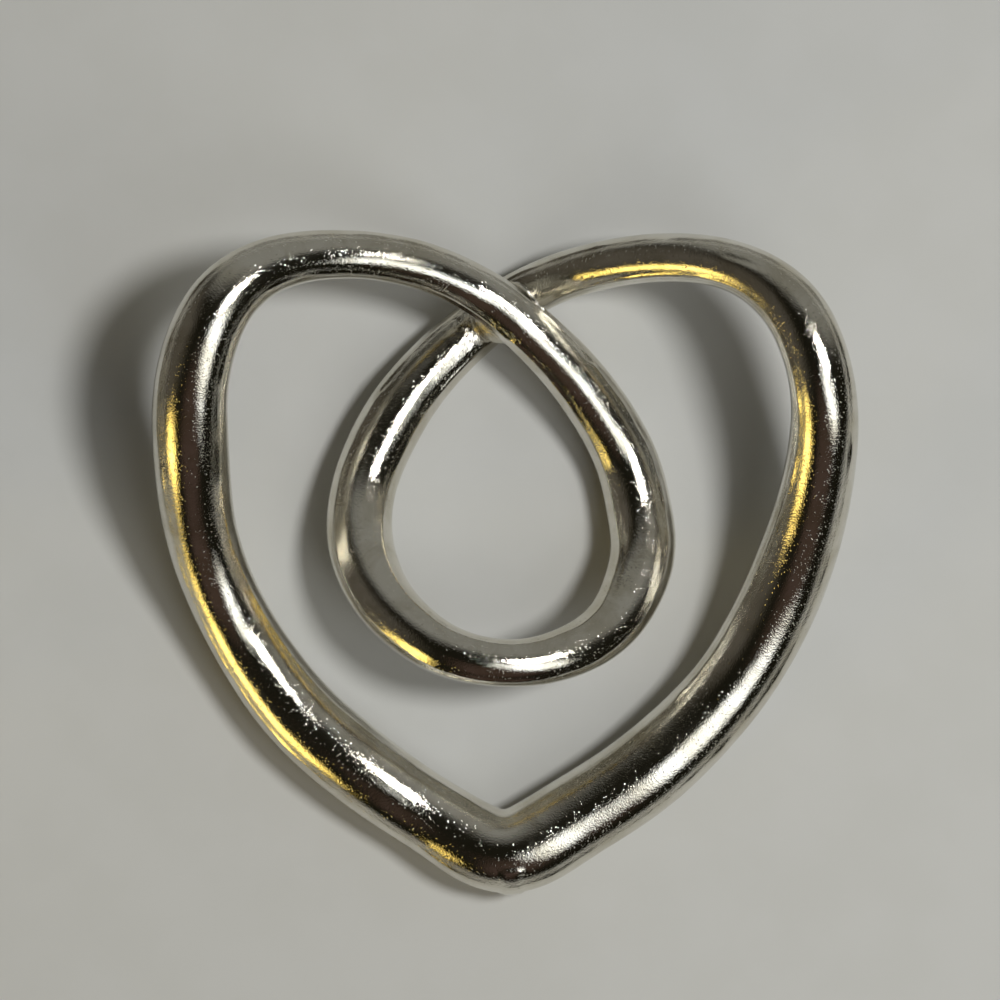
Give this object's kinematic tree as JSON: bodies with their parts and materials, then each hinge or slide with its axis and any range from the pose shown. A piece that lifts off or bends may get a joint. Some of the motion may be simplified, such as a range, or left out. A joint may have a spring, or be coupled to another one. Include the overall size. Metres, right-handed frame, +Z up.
{
  "type": "metal ring disentanglement puzzle",
  "caption": "Disentanglement puzzle of matching heart-shaped ring castings, each an endless round strand that crosses itself at the top and runs round a teardrop loop inside the heart.",
  "frame": {"origin": "on the table, midway between the two castings as they lie side by side", "axes": "+X across the pair from the second casting to the first, +Y from the first casting's tip to its lobes, +Z up from the table"},
  "size_m": [0.113, 0.0472, 0.0157],
  "materials": {
    "nickel_plate": "bright nickel plate over a finely pitted zinc die casting, with handling scratches and bright parting-line edges"
  },
  "bodies": {
    "first_casting": {"first_heart": "nickel_plate"},
    "second_casting": {"second_heart": "nickel_plate"}
  },
  "joints": [
    {"name": "second_heart_lift", "type": "slide", "parent": "first_casting", "child": "second_casting", "axis": [0, 0, 1], "range_m": [0, 0.06]}
  ]
}
